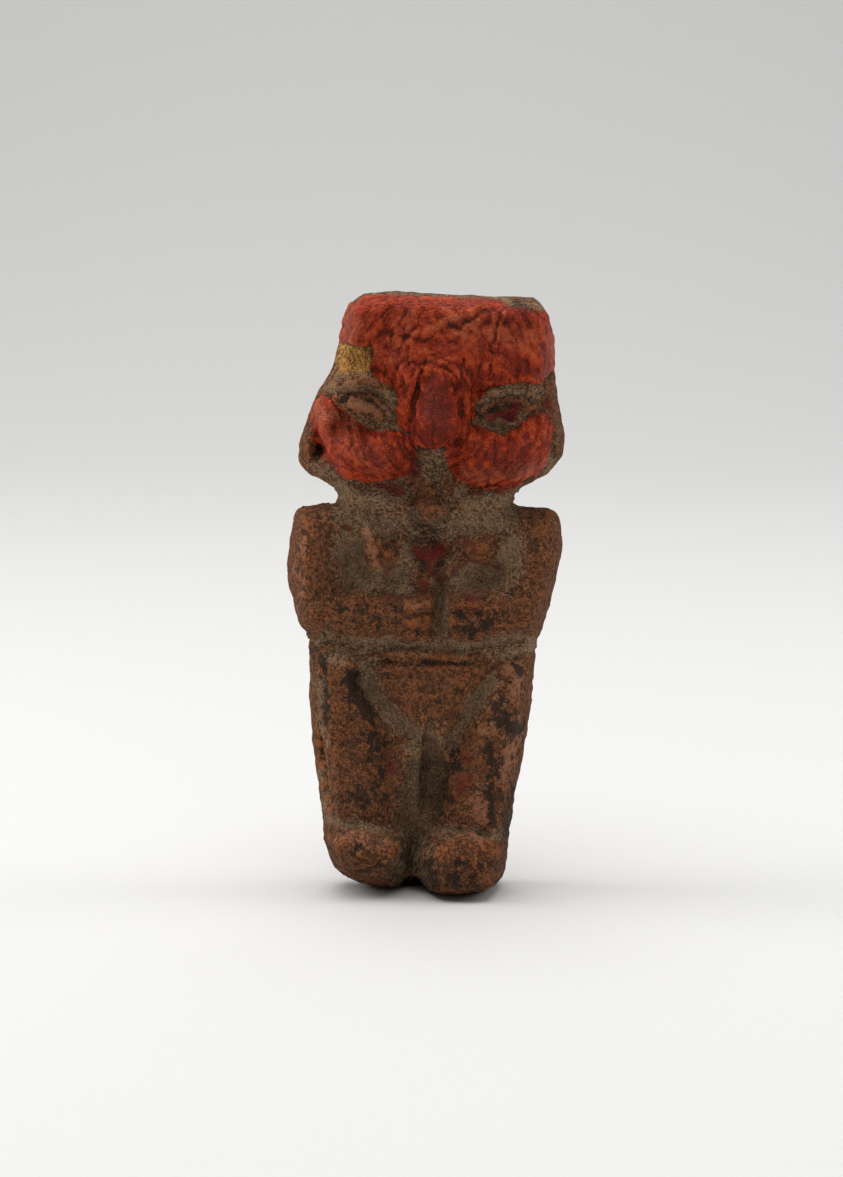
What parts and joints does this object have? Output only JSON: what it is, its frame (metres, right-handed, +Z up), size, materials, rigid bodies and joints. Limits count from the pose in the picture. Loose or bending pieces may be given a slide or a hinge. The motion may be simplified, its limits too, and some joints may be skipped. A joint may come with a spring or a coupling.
{
  "type": "mould-made female figurine",
  "caption": "Small standing fired-clay figurine of a woman with a broad flat-topped head, bent arms across the body, a corded belt and blunt feet; plain flat back.",
  "frame": {"origin": "middle of the bounding box at the level of the soles", "axes": "+Z up from the soles to the head; the figure faces -Y; +X is to the viewer's right when the viewer faces it"},
  "size_m": [0.0392, 0.018, 0.085],
  "materials": {
    "fired_clay": "matt unglazed fired clay, worn and soiled; thick red paint on the face is colour only"
  },
  "bodies": {
    "root": {"figurine": "fired_clay"}
  },
  "joints": []
}
